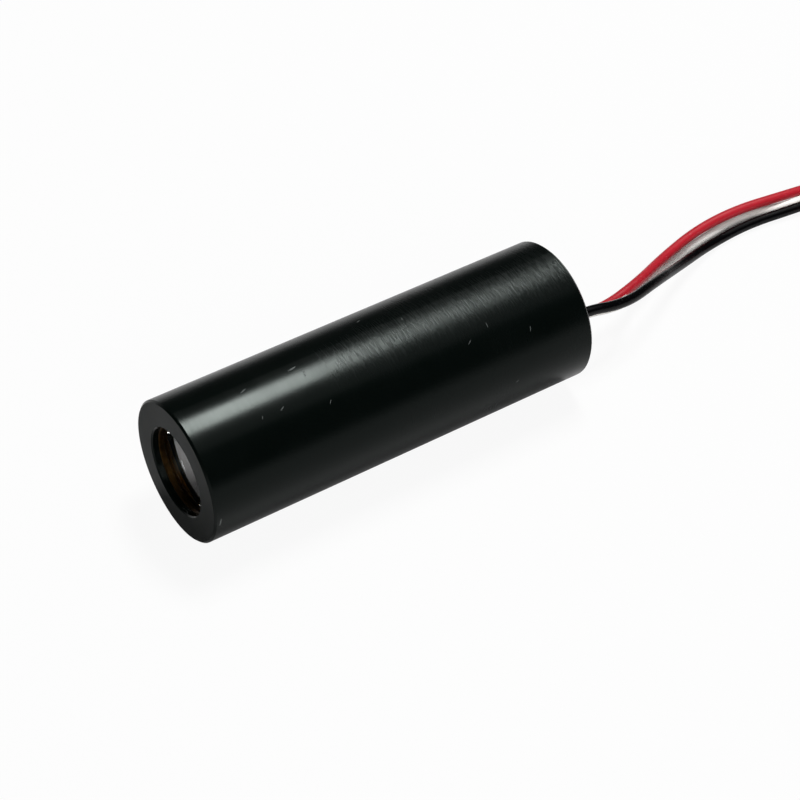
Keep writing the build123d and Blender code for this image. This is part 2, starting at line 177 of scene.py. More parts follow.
def make_lead(colour):
    """One insulated lead, a round cord of one smooth spline through its route."""
    points = lead_route(colour)
    curve = bpy.data.curves.new(f"{colour}_lead", "CURVE")
    curve.dimensions = "3D"
    curve.resolution_u = 12
    spline = curve.splines.new("NURBS")
    spline.points.add(len(points) - 1)
    for control, place in zip(spline.points, points):
        control.co = (*mm(*place), 1)
    spline.order_u = 3
    spline.use_endpoint_u = True
    curve.bevel_depth = mm(wire_diameter / 2)
    curve.bevel_resolution = 6
    curve.use_fill_caps = True
    lead = bpy.data.objects.new(f"{colour}_lead", curve)
    scene.collection.objects.link(lead)
    return lead


# Nodes, for materials and for geometry trees alike
def add_node(tree, kind, settings=None, inputs=None):
    """Adds a node, with its settings, and its inputs given as values or as sockets to link."""
    made = tree.nodes.new(kind)
    for name, value in (settings or {}).items():
        setattr(made, name, value)
    for name, value in (inputs or {}).items():
        if isinstance(value, bpy.types.NodeSocket):
            tree.links.new(value, made.inputs[name])
        else:
            made.inputs[name].default_value = value
    return made


def hex_colour(code):
    """An sRGB hex colour as the linear numbers that shaders take."""
    channels = [int(code[start : start + 2], 16) / 255 for start in (1, 3, 5)]
    linear = [c / 12.92 if c <= 0.04045 else ((c + 0.055) / 1.055) ** 2.4 for c in channels]
    return (*linear, 1.0)


def new_material(name):
    """An empty material, its tree, and the socket of the Object coordinates in it."""
    material = bpy.data.materials.new(name)
    material.use_nodes = True
    tree = material.node_tree
    tree.nodes.clear()
    return material, tree, add_node(tree, "ShaderNodeTexCoord").outputs["Object"]


def surface(tree, colours, roughness, reliefs=(), settings=None):
    """The shader that ends a material's tree. The colours are a hex code and layers over it, each a
    share and a hex code or a socket. The roughness is a number, a socket, or a pattern with its
    factor and base. The reliefs are patterns with their depths in millimetres, the widest first."""
    first, *layers = colours
    colour = hex_colour(first)
    for share, shade in layers:
        over = hex_colour(shade) if isinstance(shade, str) else shade
        colour = add_node(
            tree,
            "ShaderNodeMix",
            {"data_type": "RGBA"},
            {0: share, 6: colour, 7: over},
        ).outputs[2]
    if isinstance(roughness, tuple):
        pattern, factor, base = roughness
        roughness = add_node(
            tree,
            "ShaderNodeMath",
            {"operation": "MULTIPLY_ADD"},
            {0: pattern, 1: factor, 2: base},
        ).outputs[0]
    inputs = {"Base Color": colour, "Roughness": roughness, **(settings or {})}
    for pattern, depth in reliefs:
        under = {"Normal": inputs["Normal"]} if "Normal" in inputs else {}
        inputs["Normal"] = add_node(
            tree,
            "ShaderNodeBump",
            inputs={"Height": pattern, "Distance": mm(depth), **under},
        ).outputs[0]
    shader = add_node(tree, "ShaderNodeBsdfPrincipled", inputs=inputs)
    add_node(tree, "ShaderNodeOutputMaterial", inputs={"Surface": shader.outputs[0]})


def grain(tree, place, sizes, detail=2.0):
    """A soft random pattern whose grains have a real size, or sizes along x, y and z, in mm."""
    scale = [1 / mm(size) for size in (sizes if isinstance(sizes, tuple) else (sizes,) * 3)]
    stretched = add_node(tree, "ShaderNodeMapping", inputs={"Vector": place, "Scale": scale})
    return add_node(
        tree,
        "ShaderNodeTexNoise",
        inputs={"Vector": stretched.outputs[0], "Scale": 1.0, "Detail": detail, "Roughness": 0.55},
    ).outputs["Fac"]


def patches(tree, place, sizes, detail, low, high, most=1.0):
    """Patches with soft edges, where a random pattern rises from one level to another."""
    return add_node(
        tree,
        "ShaderNodeMapRange",
        {"interpolation_type": "SMOOTHSTEP"},
        {
            "Value": grain(tree, place, sizes, detail),
            "From Min": low,
            "From Max": high,
            "To Max": most,
        },
    ).outputs[0]


def between_spots(tree, place, pitch, low, high):
    """All but small round spots that lie about a pitch apart, in mm. The soft edge of a spot lies
    from low to high off its middle, in shares of the pitch."""
    spots = add_node(tree, "ShaderNodeTexVoronoi", inputs={"Vector": place, "Scale": 1 / mm(pitch)})
    return add_node(
        tree,
        "ShaderNodeMapRange",
        {"interpolation_type": "SMOOTHSTEP"},
        {"Value": spots.outputs["Distance"], "From Min": low, "From Max": high},
    ).outputs[0]


def barrel_places(tree, place):
    """Where a point lies on the barrel: its roll about the axis in radians, its distance from the
    axis and its distance behind the front face, in metres."""
    spot = add_node(tree, "ShaderNodeSeparateXYZ", inputs={0: place}).outputs
    up = add_node(tree, "ShaderNodeMath", {"operation": "SUBTRACT"}, {0: spot["Z"], 1: axis_height})
    height = up.outputs[0]
    roll = add_node(tree, "ShaderNodeMath", {"operation": "ARCTAN2"}, {0: height, 1: spot["X"]})
    square = add_node(tree, "ShaderNodeMath", {"operation": "MULTIPLY"}, {0: height, 1: height})
    squares = add_node(
        tree,
        "ShaderNodeMath",
        {"operation": "MULTIPLY_ADD"},
        {0: spot["X"], 1: spot["X"], 2: square.outputs[0]},
    )
    radius = add_node(tree, "ShaderNodeMath", {"operation": "SQRT"}, {0: squares.outputs[0]})
    behind = add_node(tree, "ShaderNodeMath", {"operation": "SUBTRACT"}, {0: spot["Y"], 1: front_y})
    return roll.outputs[0], radius.outputs[0], behind.outputs[0]


def board_places(tree, place):
    """Where a point lies on the tilted board: across it, positive on the black lead's side, and up
    from the barrel's axis, in metres."""
    turned = add_node(
        tree,
        "ShaderNodeMapping",
        {"vector_type": "TEXTURE"},
        {"Vector": place, "Location": (0, 0, axis_height), "Rotation": (0, -board_roll, 0)},
    )
    spot = add_node(tree, "ShaderNodeSeparateXYZ", inputs={0: turned.outputs[0]}).outputs
    return spot["X"], spot["Z"]


# Finishes: each function makes one material and returns it.
# Nicks through the anodising: millimetres behind the front, roll in degrees, length, width, slant
nicks = (
    (0.4, -8.0, 0.7, 0.14, 80.0),
    (5.0, 83.3, 0.5, 0.07, 20.0),
    (5.1, 57.1, 0.3, 0.06, 65.0),
    (6.6, 57.7, 0.4, 0.07, 30.0),
    (8.7, 84.2, 0.6, 0.14, 10.0),
    (9.2, 75.7, 0.5, 0.08, 75.0),
    (9.8, 47.8, 0.3, 0.06, 50.0),
    (11.7, 72.2, 0.4, 0.08, 35.0),
    (15.0, 105.1, 0.4, 0.08, 15.0),
    (17.4, 86.8, 0.3, 0.07, 60.0),
    (20.7, 46.8, 0.4, 0.06, 40.0),
    (22.4, 53.5, 0.4, 0.07, 85.0),
    (23.6, -0.5, 0.3, 0.07, 20.0),
    (25.3, 37.4, 0.4, 0.06, 70.0),
    (12.0, 160.0, 0.5, 0.07, 30.0),
    (19.0, -140.0, 0.4, 0.08, 70.0),
    (7.0, -100.0, 0.6, 0.06, 45.0),
)
# From a nick's middle, in half sizes of it: where its bare metal fades, where it is gone, and a
# distance at which nothing of it shows
nick_fades = 1.1
nick_gone = 1.6
far_off = 9.0


def nicked(tree, roll, distance, ragged):
    """The share of bare metal in the nicks, whose edges are made ragged by a pattern."""
    arc = add_node(tree, "ShaderNodeMath", {"operation": "MULTIPLY"}, {0: roll, 1: barrel_radius})
    spot = add_node(tree, "ShaderNodeCombineXYZ", inputs={0: distance, 1: arc.outputs[0]})
    nearest = far_off
    for behind, around, length, width, slant in nicks:
        inside = add_node(
            tree,
            "ShaderNodeMapping",
            {"vector_type": "TEXTURE"},
            {
                "Vector": spot.outputs[0],
                "Location": (mm(behind), math.radians(around) * barrel_radius, 0),
                "Rotation": (0, 0, math.radians(slant)),
                "Scale": (mm(length / 2), mm(width / 2), 1),
            },
        )
        reach = add_node(tree, "ShaderNodeVectorMath", {"operation": "LENGTH"}, {0: inside.outputs[0]})
        nearest = add_node(
            tree,
            "ShaderNodeMath",
            {"operation": "MINIMUM"},
            {0: reach.outputs["Value"], 1: nearest},
        ).outputs[0]
    torn = add_node(tree, "ShaderNodeMath", {"operation": "ADD"}, {0: nearest, 1: ragged}).outputs[0]
    return add_node(
        tree,
        "ShaderNodeMapRange",
        {"interpolation_type": "SMOOTHSTEP"},
        {
            "Value": torn,
            "From Min": nick_fades,
            "From Max": nick_gone,
            "To Min": 1.0,
            "To Max": 0.0,
        },
    ).outputs[0]


# The upper side, where handling has rubbed the barrel: its middle and its reach round the axis,
# and how far behind the front it starts and is in full, in millimetres
rubbed_roll = math.radians(74)
rubbed_reach = math.radians(30)
rubbed_from = 7.0
rubbed_full = 17.0
# The front face is matte, and the gloss starts and is in full this far behind it
gloss_from = 0.01
gloss_full = 0.03


def anodised_aluminium():
    """Turned aluminium, anodised black: near black with a cool green tint and a satin gloss, with
    fine rings from the tool, hairline rub marks round its upper rear, a matte front face, and nicks
    that show grey metal."""
    material, tree, place = new_material("black anodised aluminium")
    roll, _, distance = barrel_places(tree, place)
    tool_rings = grain(tree, place, (6.0, 0.11, 6.0), 3.0)
    cloud = grain(tree, place, (2.4, 3.2, 2.4))
    rubs = patches(tree, place, (1.1, 0.09, 1.1), 2.0, 0.42, 0.66)
    rear_half = add_node(
        tree,
        "ShaderNodeMapRange",
        {"interpolation_type": "SMOOTHSTEP"},
        {"Value": distance, "From Min": mm(rubbed_from), "From Max": mm(rubbed_full)},
    ).outputs[0]
    apart = add_node(tree, "ShaderNodeMath", {"operation": "SUBTRACT"}, {0: roll, 1: rubbed_roll})
    off_top = add_node(tree, "ShaderNodeMath", {"operation": "ABSOLUTE"}, {0: apart.outputs[0]})
    on_top = add_node(
        tree,
        "ShaderNodeMapRange",
        {"interpolation_type": "SMOOTHSTEP"},
        {
            "Value": off_top.outputs[0],
            "From Min": rubbed_reach * 0.5,
            "From Max": rubbed_reach,
            "To Min": 1.0,
            "To Max": 0.0,
        },
    ).outputs[0]
    where = add_node(tree, "ShaderNodeMath", {"operation": "MULTIPLY"}, {0: rear_half, 1: on_top})
    rubbed = add_node(
        tree,
        "ShaderNodeMath",
        {"operation": "MULTIPLY"},
        {0: rubs, 1: where.outputs[0]},
    ).outputs[0]
    bare = nicked(tree, roll, distance, grain(tree, place, 0.12))
    satin = add_node(
        tree,
        "ShaderNodeMapRange",
        {"interpolation_type": "SMOOTHSTEP"},
        {"Value": cloud, "From Min": 0.3, "From Max": 0.7, "To Min": 0.17, "To Max": 0.2},
    ).outputs[0]
    front = add_node(
        tree,
        "ShaderNodeMapRange",
        {"interpolation_type": "SMOOTHSTEP"},
        {
            "Value": distance,
            "From Min": mm(gloss_from),
            "From Max": mm(gloss_full),
            "To Min": 0.3,
            "To Max": 0.0,
        },
    ).outputs[0]
    roughness = satin
    for pattern, factor in ((tool_rings, 0.08), (rear_half, 0.03), (rubbed, 0.1), (front, 1.0)):
        roughness = add_node(
            tree,
            "ShaderNodeMath",
            {"operation": "MULTIPLY_ADD"},
            {0: pattern, 1: factor, 2: roughness},
        ).outputs[0]
    marks = add_node(
        tree,
        "ShaderNodeMath",
        {"operation": "MULTIPLY_ADD"},
        {0: bare, 1: -1.0, 2: rubbed},
    ).outputs[0]
    surface(
        tree,
        ("#020504", (cloud, "#040706"), (bare, "#474a49")),
        roughness,
        [(tool_rings, 0.0016), (marks, 0.006)],
        {"Specular IOR Level": 0.14, "Specular Tint": hex_colour("#e2efe9")},
    )
    return material


# The lens's ground rim, and the painted reflection of the brass on it, start and are in full this far
# inside the edge of the glass, in millimetres
rim_from = 0.06
rim_full = 0.02


def optical_glass():
    """Polished crown glass: clear, with a few specks of dust, and a ground rim whose warm colour is a
    painted reflection of the brass round it."""
    material, tree, place = new_material("polished optical glass")
    radius = barrel_places(tree, place)[1]
    rim = add_node(
        tree,
        "ShaderNodeMapRange",
        {"interpolation_type": "SMOOTHSTEP"},
        {
            "Value": radius,
            "From Min": lens_radius - mm(rim_from),
            "From Max": lens_radius - mm(rim_full),
        },
    ).outputs[0]
    dust = patches(tree, place, 0.05, 1.0, 0.72, 0.78, 0.35)
    # The rim's warm colour is a painted reflection of the brass round the lens; its roughness is the
    # real ground rim.
    surface(
        tree,
        ("#fbfdfb", (rim, "#c9a36a")),
        (rim, 0.5, dust),
        settings={"IOR": 1.5168, "Transmission Weight": 1.0},
    )
    return material


def turned_brass(name, clean, dull, roughness):
    """Brass turned on a lathe: warm, darker where the years have dulled it, with fine rings from
    the tool on its walls and on its faces. Browned brass is dark and hardly shines."""
    material, tree, place = new_material(name)
    _, radius, distance = barrel_places(tree, place)
    cut = add_node(tree, "ShaderNodeCombineXYZ", inputs={0: radius, 1: distance}).outputs[0]
    tool_rings = grain(tree, cut, (0.07, 0.07, 1.0), 3.0)
    tarnish = grain(tree, place, 0.9, 4.0)
    dulled = patches(tree, place, 0.9, 4.0, 0.35, 0.7)
    surface(
        tree,
        (clean, (dulled, dull)),
        (tarnish, 0.25, roughness),
        [(tool_rings, 0.004)],
        {"Metallic": 1.0},
    )
    return material


def spring_steel():
    """Drawn spring wire: cool grey steel with a bright, faintly lined skin and a trace of oil."""
    material, tree, place = new_material("drawn spring steel")
    lines = grain(tree, place, (2.0, 0.05, 2.0), 3.0)
    oil = grain(tree, place, 0.7)
    surface(
        tree,
        ("#a9abab", (oil, "#d0cdc6")),
        (lines, 0.16, 0.16),
        [(lines, 0.003)],
        {"Metallic": 1.0},
    )
    return material


def gold_plating():
    """Gold on nickelled steel: a warm, slightly hazy gloss with tiny pits of the rolled sheet."""
    material, tree, place = new_material("gold plated steel")
    haze = grain(tree, place, 0.5, 3.0)
    pits = patches(tree, place, 0.05, 2.0, 0.25, 0.4)
    surface(
        tree,
        ("#d9b263", (haze, "#e8c987")),
        (haze, 0.15, 0.16),
        [(pits, 0.003)],
        {"Metallic": 1.0},
    )
    return material


def lapped_ceramic():
    """Fired nitride ceramic, lapped: matte cream grey with a fine sugary grain."""
    material, tree, place = new_material("lapped ceramic")
    crystals = grain(tree, place, 0.03, 3.0)
    surface(tree, ("#cfcbbd", (crystals, "#e4e1d6")), 0.62, [(crystals, 0.003)])
    return material


def cleaved_chip():
    """Cleaved semiconductor: blue-black and glassy, with faint saw marks along its sides."""
    material, tree, place = new_material("cleaved semiconductor")
    saw = grain(tree, place, (0.3, 0.02, 0.3))
    surface(
        tree,
        ("#191c26", (saw, "#343a4a")),
        (saw, 0.2, 0.12),
        [(saw, 0.002)],
        {"Metallic": 0.3},
    )
    return material


def window_glass():
    """Coated window glass: clear with a faint violet cast and a slight haze."""
    material, tree, place = new_material("coated window glass")
    haze = grain(tree, place, 0.4)
    blurred = add_node(
        tree,
        "ShaderNodeMapRange",
        {"interpolation_type": "SMOOTHSTEP"},
        {"Value": haze, "From Min": 0.5, "From Max": 0.8, "To Min": 0.01, "To Max": 0.06},
    ).outputs[0]
    surface(
        tree,
        ("#efeaf7", (haze, "#f6f6fb")),
        blurred,
        settings={"IOR": 1.52, "Transmission Weight": 1.0},
    )
    return material


def sealing_glass():
    """Fused sealing glass: dark bottle green, glossy, with small bubbles under the skin."""
    material, tree, place = new_material("fused sealing glass")
    off_bubbles = between_spots(tree, place, 0.12, 0.12, 0.22)
    surface(
        tree,
        ("#6f7f74", (off_bubbles, "#24332c")),
        0.08,
        [(grain(tree, place, 0.2), 0.006)],
        {"Coat Weight": 0.4},
    )
    return material


# The driver board, in millimetres: how far its middle lies under the barrel's axis, its faces from
# its middle, and the mask's edge on either side of its faces
board_middle = 0.5
board_half = 0.24
mask_edge = 0.005
# Its tracks, in millimetres: the length of a run, how far apart they lie, and their width
track_run = 2.3
track_pitch = 0.62
track_width = 0.13


def solder_mask_board():
    """Printed circuit board: green solder mask over copper tracks that stand a little proud, and
    pale yellow glass fibre at the sawn edges."""
    material, tree, place = new_material("solder masked board")
    side, height = board_places(tree, place)
    along = add_node(tree, "ShaderNodeSeparateXYZ", inputs={0: place}).outputs["Y"]
    flat_place = add_node(tree, "ShaderNodeCombineXYZ", inputs={0: along, 1: side}).outputs[0]
    tracks = add_node(
        tree,
        "ShaderNodeTexBrick",
        {"offset": 0.37, "squash_frequency": 3},
        {
            "Vector": flat_place,
            "Scale": 1 / mm(1),
            "Brick Width": track_run,
            "Row Height": track_pitch,
            "Mortar Size": track_width,
            "Mortar Smooth": 0.4,
        },
    ).outputs["Fac"]
    raised = add_node(
        tree,
        "ShaderNodeMath",
        {"operation": "ADD"},
        {0: height, 1: mm(board_middle)},
    ).outputs[0]
    middle = add_node(tree, "ShaderNodeMath", {"operation": "ABSOLUTE"}, {0: raised}).outputs[0]
    edge = add_node(
        tree,
        "ShaderNodeMapRange",
        {"interpolation_type": "SMOOTHSTEP"},
        {
            "Value": middle,
            "From Min": mm(board_half - mask_edge),
            "From Max": mm(board_half + mask_edge),
            "To Min": 1.0,
            "To Max": 0.0,
        },
    ).outputs[0]
    weave = grain(tree, place, (0.5, 0.06, 0.5))
    fibre = add_node(
        tree,
        "ShaderNodeMix",
        {"data_type": "RGBA"},
        {0: weave, 6: hex_colour("#a99f66"), 7: hex_colour("#cfc794")},
    ).outputs[2]
    standing = add_node(
        tree,
        "ShaderNodeMath",
        {"operation": "MULTIPLY_ADD"},
        {0: tracks, 1: 2.0, 2: weave},
    ).outputs[0]
    surface(
        tree,
        ("#14512d", (tracks, "#2a7a45"), (edge, fibre)),
        (edge, 0.4, 0.28),
        [(standing, 0.02)],
    )
    return material


# A chip's legs start and are in full this far outside its case, in millimetres
leg_from = 0.005
leg_full = 0.02


def moulded_chip(name, side_centre, width):
    """Moulded chip case, matte black epoxy with a fine grain, on bent legs of bright tinned metal."""
    material, tree, place = new_material(name)
    side = board_places(tree, place)[0]
    apart = add_node(tree, "ShaderNodeMath", {"operation": "SUBTRACT"}, {0: side, 1: mm(side_centre)})
    beside = add_node(tree, "ShaderNodeMath", {"operation": "ABSOLUTE"}, {0: apart.outputs[0]})
    leg = add_node(
        tree,
        "ShaderNodeMapRange",
        {"interpolation_type": "SMOOTHSTEP"},
        {
            "Value": beside.outputs[0],
            "From Min": mm(width / 2 + leg_from),
            "From Max": mm(width / 2 + leg_full),
        },
    ).outputs[0]
    grit = grain(tree, place, 0.05, 3.0)
    surface(
        tree,
        ("#15161a", (grit, "#26272b"), (leg, "#c4c3bf")),
        (leg, -0.3, 0.62),
        [(grit, 0.006)],
        {"Metallic": leg},
    )
    return material


# The small bricks on the board, in millimetres: their length, that of their tinned ends, and how
# softly these end
brick_length = 1.6
cap_length = 0.3
cap_blur = 0.02


def end_caps(tree, place):
    """The share of tinned end on the small bricks, which lie in two rows along the board."""
    low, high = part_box("chip_resistors")
    brick, cap = mm(brick_length), mm(cap_length)
    along = add_node(tree, "ShaderNodeSeparateXYZ", inputs={0: place}).outputs["Y"]
    nearest = 1.0
    for end in (low.y, low.y + brick, high.y - brick, high.y):
        past = add_node(tree, "ShaderNodeMath", {"operation": "SUBTRACT"}, {0: along, 1: end})
        apart = add_node(tree, "ShaderNodeMath", {"operation": "ABSOLUTE"}, {0: past.outputs[0]})
        nearest = add_node(
            tree,
            "ShaderNodeMath",
            {"operation": "MINIMUM"},
            {0: apart.outputs[0], 1: nearest},
        ).outputs[0]
    return add_node(
        tree,
        "ShaderNodeMapRange",
        {"interpolation_type": "SMOOTHSTEP"},
        {
            "Value": nearest,
            "From Min": cap,
            "From Max": cap + mm(cap_blur),
            "To Min": 1.0,
            "To Max": 0.0,
        },
    ).outputs[0]


def brick_finish(name, dark, light, roughness):
    """Small bricks for the board with tinned ends, in the colours of their glaze or ceramic."""
    material, tree, place = new_material(name)
    tinned = end_caps(tree, place)
    speckle = grain(tree, place, 0.08, 3.0)
    surface(
        tree,
        (dark, (speckle, light), (tinned, "#c9c8c4")),
        (speckle, 0.1, roughness),
        [(speckle, 0.006)],
        {"Metallic": tinned},
    )
    return material


# The stripe on the capacitor's case, in millimetres: its width and how softly it ends
stripe_width = 0.55
stripe_blur = 0.03


def moulded_tantalum():
    """Moulded capacitor case: matte mustard yellow with a brown stripe at its front end."""
    material, tree, place = new_material("moulded capacitor case")
    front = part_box("filter_capacitor")[0].y
    along = add_node(tree, "ShaderNodeSeparateXYZ", inputs={0: place}).outputs["Y"]
    stripe = add_node(
        tree,
        "ShaderNodeMapRange",
        {"interpolation_type": "SMOOTHSTEP"},
        {
            "Value": along,
            "From Min": front + mm(stripe_width),
            "From Max": front + mm(stripe_width + stripe_blur),
            "To Min": 1.0,
            "To Max": 0.0,
        },
    ).outputs[0]
    grit = grain(tree, place, 0.06, 3.0)
    surface(
        tree,
        ("#b98a24", (grit, "#cf9f36"), (stripe, "#5a3413")),
        0.55,
        [(grit, 0.006)],
    )
    return material


def solder():
    """Solder that has frozen bright, a little frosty, with a thin amber film of flux in places."""
    material, tree, place = new_material("solder")
    frost = grain(tree, place, 0.06, 4.0)
    flux = patches(tree, place, 0.5, 2.0, 0.55, 0.7)
    surface(
        tree,
        ("#c6c8ca", (flux, "#b39c6c")),
        (frost, 0.25, 0.12),
        [(frost, 0.01)],
        {"Metallic": 1.0},
    )
    return material


def tinned_copper():
    """Tinned copper strands: bright silver grey, duller in the hollows, warm where copper shows."""
    material, tree, place = new_material("tinned copper")
    wipe = grain(tree, place, 0.25, 4.0)
    shown = patches(tree, place, 0.25, 4.0, 0.6, 0.75)
    surface(
        tree,
        ("#c2c0bb", (shown, "#b98a68")),
        (wipe, 0.25, 0.2),
        [(wipe, 0.01)],
        {"Metallic": 1.0},
    )
    return material


def cast_epoxy():
    """Black epoxy, cast and left to cure: satin with a soft swell, pin holes and a little dust."""
    material, tree, place = new_material("cast black epoxy")
    swell = grain(tree, place, 1.4)
    off_holes = between_spots(tree, place, 0.9, 0.05, 0.1)
    dust = patches(tree, place, 0.07, 2.0, 0.68, 0.76, 0.3)
    surface(
        tree,
        ("#0b0b0c", (dust, "#77736c")),
        (dust, 1.0, 0.34),
        [(swell, 0.06), (off_holes, 0.03)],
    )
    return material


def vinyl_insulation(name, dark, light, scuff, roughness, gloss):
    """Extruded vinyl: an even colour with a soft gloss, a faint ripple, and scuffs from handling."""
    material, tree, place = new_material(name)
    ripple = grain(tree, place, 0.5, 3.0)
    scuffs = patches(tree, place, (0.14, 0.5, 0.14), 2.0, 0.63, 0.75, 0.4)
    surface(
        tree,
        (dark, (ripple, light), (scuffs, scuff)),
        (scuffs, 0.5, roughness),
        [(ripple, 0.012)],
        {"Specular IOR Level": gloss},
    )
    return material


def tie_plastic():
    """Plastic skin of a wire tie: satin black with a fine moulded rib, paler where it is creased."""
    material, tree, place = new_material("tie plastic")
    ribs = grain(tree, place, (0.12, 0.12, 0.9))
    crease = patches(tree, place, 0.4, 3.0, 0.55, 0.75)
    surface(
        tree,
        ("#141416", (crease, "#2e2f33")),
        (crease, 0.15, 0.38),
        [(ribs, 0.015)],
    )
    return material


brass = turned_brass("turned brass", "#c79a4e", "#8a6128", roughness=0.22)
browned = turned_brass("browned brass", "#3f2d16", "#21160a", roughness=0.38)
gilt = gold_plating()
semiconductor = cleaved_chip()
tin = solder()
copper = tinned_copper()
plastic = tie_plastic()
# Each lead's insulation: its dark, light and scuffed colours, its roughness and its gloss
insulation_look = {
    "red": ("#9c1420", "#ac1c2a", "#b85a64", 0.38, 0.35),
    "white": ("#e4e1dc", "#ece9e5", "#b9b3aa", 0.40, 0.35),
    "black": ("#020203", "#040405", "#101012", 0.20, 0.16),
}
insulation = {
    colour: vinyl_insulation(f"{colour} vinyl insulation", *look)
    for colour, look in insulation_look.items()
}
node_finish = {
    "housing": anodised_aluminium(),
    "lens": optical_glass(),
    "lens_cell": browned,
    "lens_ring": brass,
    "focus_spring": spring_steel(),
    "diode_holder": brass,
    "diode_clamp_ring": brass,
    "diode_stem": gilt,
    "diode_submount": lapped_ceramic(),
    "laser_chip": semiconductor,
    "monitor_photodiode": semiconductor,
    "diode_cap": gilt,
    "diode_window": window_glass(),
    "laser_pin": gilt,
    "photodiode_pin": gilt,
    "common_pin": gilt,
    "pin_beads": sealing_glass(),
    "driver_board": solder_mask_board(),
    "driver_chip": moulded_chip("regulator case", side_centre=0.0, width=1.6),
    "pass_transistor": moulded_chip("transistor case", side_centre=1.7, width=1.3),
    "chip_resistors": brick_finish("glazed resistor", "#0f1012", "#1a1b1e", roughness=0.25),
    "chip_capacitors": brick_finish(
        "fired capacitor ceramic", "#8a6a48", "#a58460", roughness=0.45
    ),
    "filter_capacitor": moulded_tantalum(),
    "pin_solder": tin,
    "wire_solder": tin,
    "wire_cores": copper,
}
for name, finish in node_finish.items():
    nodes[name].data.materials.clear()
    nodes[name].data.materials.append(finish)


# Pieces that follow a path: stripped strands and the coil's tie
def new_inputs(tree, sockets):
    """Names a geometry tree's inputs and its output, and returns each input's identifier."""
    kinds = {"path": "Geometry", "finish": "Material", "count": "Int"}
    identifiers = {}
    for name, kind in sockets.items():
        made = tree.interface.new_socket(
            name, in_out="INPUT", socket_type="NodeSocket" + kinds.get(kind, "Float")
        )
        identifiers[name] = made.identifier
    tree.interface.new_socket("Geometry", in_out="OUTPUT", socket_type="NodeSocketGeometry")
    return identifiers


def twisted_path(tree, given):
    """The path as a curve whose cross-section turns evenly from its start to its end."""
    path = add_node(tree, "GeometryNodeMeshToCurve", inputs={"Mesh": given["Path"]})
    along = add_node(tree, "GeometryNodeSplineParameter").outputs["Factor"]
    turn = add_node(
        tree,
        "ShaderNodeMath",
        {"operation": "MULTIPLY_ADD"},
        {0: along, 1: given["Twist"], 2: given["Start Turn"]},
    ).outputs[0]
    return add_node(
        tree, "GeometryNodeSetCurveTilt", inputs={"Curve": path.outputs[0], "Tilt": turn}
    ).outputs[0]


def swept(tree, path, profile, finish):
    """The profile drawn along the path, capped, smooth and finished, as the tree's result."""
    tube = add_node(
        tree,
        "GeometryNodeCurveToMesh",
        inputs={"Curve": path, "Profile Curve": profile, "Fill Caps": True},
    )
    smooth = add_node(tree, "GeometryNodeSetShadeSmooth", inputs={"Geometry": tube.outputs[0]})
    real = add_node(tree, "GeometryNodeRealizeInstances", inputs={"Geometry": smooth.outputs[0]})
    coated = add_node(
        tree, "GeometryNodeSetMaterial", inputs={"Geometry": real.outputs[0], "Material": finish}
    )
    add_node(tree, "NodeGroupOutput", inputs={"Geometry": coated.outputs[0]})


def strand_tree():
    """Round strands laid in a ring round a middle one, and twisted along the path."""
    tree = bpy.data.node_groups.new("twisted strands", "GeometryNodeTree")
    identifiers = new_inputs(
        tree,
        {
            "Path": "path",
            "Strand Radius": "length",
            "Lay Radius": "length",
            "Outer Strands": "count",
            "Start Turn": "angle",
            "Twist": "angle",
            "Finish": "finish",
        },
    )
    given = add_node(tree, "NodeGroupInput").outputs
    ring = add_node(
        tree,
        "GeometryNodeMeshCircle",
        inputs={"Vertices": given["Outer Strands"], "Radius": given["Lay Radius"]},
    )
    middle = add_node(tree, "GeometryNodeMeshLine", inputs={"Count": 1})
    lay = add_node(tree, "GeometryNodeJoinGeometry", inputs={"Geometry": ring.outputs["Mesh"]})
    tree.links.new(middle.outputs["Mesh"], lay.inputs["Geometry"])
    round_strand = add_node(
        tree,
        "GeometryNodeCurvePrimitiveCircle",
        inputs={"Resolution": 12, "Radius": given["Strand Radius"]},
    )
    laid = add_node(
        tree,
        "GeometryNodeInstanceOnPoints",
        inputs={"Points": lay.outputs[0], "Instance": round_strand.outputs["Curve"]},
    )
    profile = add_node(tree, "GeometryNodeRealizeInstances", inputs={"Geometry": laid.outputs[0]})
    swept(tree, twisted_path(tree, given), profile.outputs[0], given["Finish"])
    return tree, identifiers


def strip_tree():
    """A flat strip with rounded edges along the path."""
    tree = bpy.data.node_groups.new("flat strip", "GeometryNodeTree")
    identifiers = new_inputs(
        tree,
        {
            "Path": "path",
            "Width": "length",
            "Thickness": "length",
            "Edge Radius": "length",
            "Start Turn": "angle",
            "Twist": "angle",
            "Finish": "finish",
        },
    )
    given = add_node(tree, "NodeGroupInput").outputs
    outline = add_node(
        tree,
        "GeometryNodeCurvePrimitiveQuadrilateral",
        inputs={"Width": given["Width"], "Height": given["Thickness"]},
    )
    profile = add_node(
        tree,
        "GeometryNodeFilletCurve",
        {"mode": "POLY"},
        {"Curve": outline.outputs[0], "Count": 4, "Radius": given["Edge Radius"]},
    )
    swept(tree, twisted_path(tree, given), profile.outputs[0], given["Finish"])
    return tree, identifiers


def follow(name, points, closed, made_tree, sizes):
    """A plain mesh piece made by a tree along the millimetre points."""
    tree, identifiers = made_tree
    edges = [(start, start + 1) for start in range(len(points) - 1)]
    if closed:
        edges.append((len(points) - 1, 0))
    path = bpy.data.meshes.new(name)
    path.from_pydata([mm(*point) for point in points], edges, [])
    piece = bpy.data.objects.new(name, path)
    scene.collection.objects.link(piece)
    modifier = piece.modifiers.new("shape", "NODES")
    modifier.node_group = tree
    for size, value in sizes.items():
        modifier[identifiers[size]] = value
    seen = piece.evaluated_get(bpy.context.evaluated_depsgraph_get())
    made = bpy.data.meshes.new_from_object(seen)
    piece.modifiers.remove(modifier)
    piece.data = made
    return piece


# A stripped end: strands of this radius, in millimetres, laid round a middle one
strand_count = 6
strand_radius = 0.058
lay_turns = 1.5
tip_steps = 24


